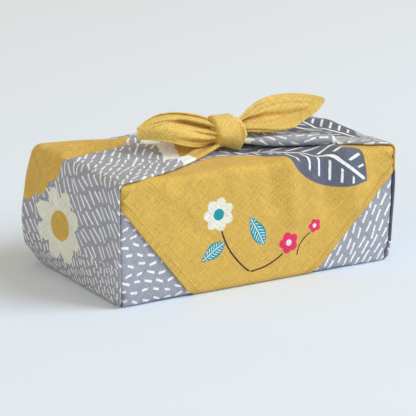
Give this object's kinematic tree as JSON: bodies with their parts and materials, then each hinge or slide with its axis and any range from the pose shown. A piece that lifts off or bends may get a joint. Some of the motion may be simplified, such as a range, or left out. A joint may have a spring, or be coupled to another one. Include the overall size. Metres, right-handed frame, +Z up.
{
  "type": "furoshiki wrap",
  "caption": "Square printed cloth folded round a box-shaped hollow, with a front flap tucked under and a square knot with two free ends on top.",
  "frame": {"origin": "middle of the underside, on the surface that the bundle stands on", "axes": "+X along the length of the bundle, to the right seen from the front flap; +Y towards the back; +Z up to the knot"},
  "size_m": [0.2022, 0.111, 0.1045],
  "materials": {
    "printed_linen": "matte printed plain-weave linen and cotton"
  },
  "bodies": {
    "root": {"cloth": "printed_linen"}
  },
  "joints": []
}
